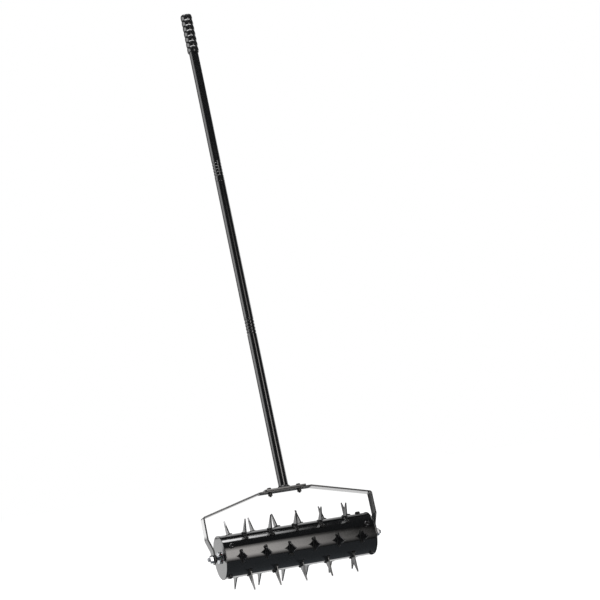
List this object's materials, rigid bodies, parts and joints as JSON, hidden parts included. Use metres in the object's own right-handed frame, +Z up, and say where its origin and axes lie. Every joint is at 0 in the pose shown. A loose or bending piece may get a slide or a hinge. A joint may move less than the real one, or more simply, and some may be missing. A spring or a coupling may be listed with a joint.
{
  "type": "rolling lawn spike aerator",
  "caption": "Push lawn aerator: a drum set with flat steel spikes turns on an axle in a bent flat-bar yoke, with a long straight tube handle and a ribbed grip.",
  "frame": {"origin": "middle of the drum on the axle's centreline", "axes": "+X along the axle, +Z up as it stands on two rows of spikes, handle leaning back towards +Y"},
  "size_m": [0.467, 0.4269, 1.5584],
  "materials": {
    "black_paint": "gloss black enamel",
    "spike_paint": "gloss black enamel over flat plate",
    "tube_paint": "gloss black powder coat",
    "black_screw": "black, semi-gloss",
    "zinc": "bright zinc plate",
    "axle_steel": "plain zinc-plated rod",
    "nylon": "natural nylon",
    "rubber": "soft black rubber",
    "grip_vinyl": "glossy black dipped vinyl"
  },
  "bodies": {
    "handle_frame": {"axle_rod": "axle_steel", "axle_nuts": "zinc", "jam_nuts": "black_screw", "fender_washers": "zinc", "yoke_strap": "black_paint", "foot_plate": "black_paint", "foot_weld": "black_paint", "plate_bolts": "black_screw", "plate_washers": "black_screw", "plate_nuts": "black_screw", "lower_tube": "tube_paint", "middle_tube": "tube_paint", "upper_tube": "tube_paint", "lower_connector": "axle_steel", "upper_connector": "axle_steel", "handle_grip": "grip_vinyl"},
    "drum": {"drum_tube": "black_paint", "end_cap_right": "black_paint", "end_cap_left": "black_paint", "bush_right": "nylon", "bush_left": "nylon", "cap_screws": "black_paint", "cap_nuts": "zinc", "drain_plug": "rubber", "spike_row1_1": "spike_paint", "spike_row1_2": "spike_paint", "spike_row1_3": "spike_paint", "spike_row1_4": "spike_paint", "spike_row1_5": "spike_paint", "spike_row1_6": "spike_paint", "spike_row2_1": "spike_paint", "spike_row2_2": "spike_paint", "spike_row2_3": "spike_paint", "spike_row2_4": "spike_paint", "spike_row2_5": "spike_paint", "spike_row3_1": "spike_paint", "spike_row3_2": "spike_paint", "spike_row3_3": "spike_paint", "spike_row3_4": "spike_paint", "spike_row3_5": "spike_paint", "spike_row3_6": "spike_paint", "spike_row4_1": "spike_paint", "spike_row4_2": "spike_paint", "spike_row4_3": "spike_paint", "spike_row4_4": "spike_paint", "spike_row4_5": "spike_paint", "spike_row5_1": "spike_paint", "spike_row5_2": "spike_paint", "spike_row5_3": "spike_paint", "spike_row5_4": "spike_paint", "spike_row5_5": "spike_paint", "spike_row5_6": "spike_paint", "spike_row6_1": "spike_paint", "spike_row6_2": "spike_paint", "spike_row6_3": "spike_paint", "spike_row6_4": "spike_paint", "spike_row6_5": "spike_paint"}
  },
  "joints": [
    {"name": "drum_spin", "type": "hinge", "parent": "handle_frame", "child": "drum", "pos_m": [0, 0, 0], "axis": [1, 0, 0], "continuous": true}
  ]
}
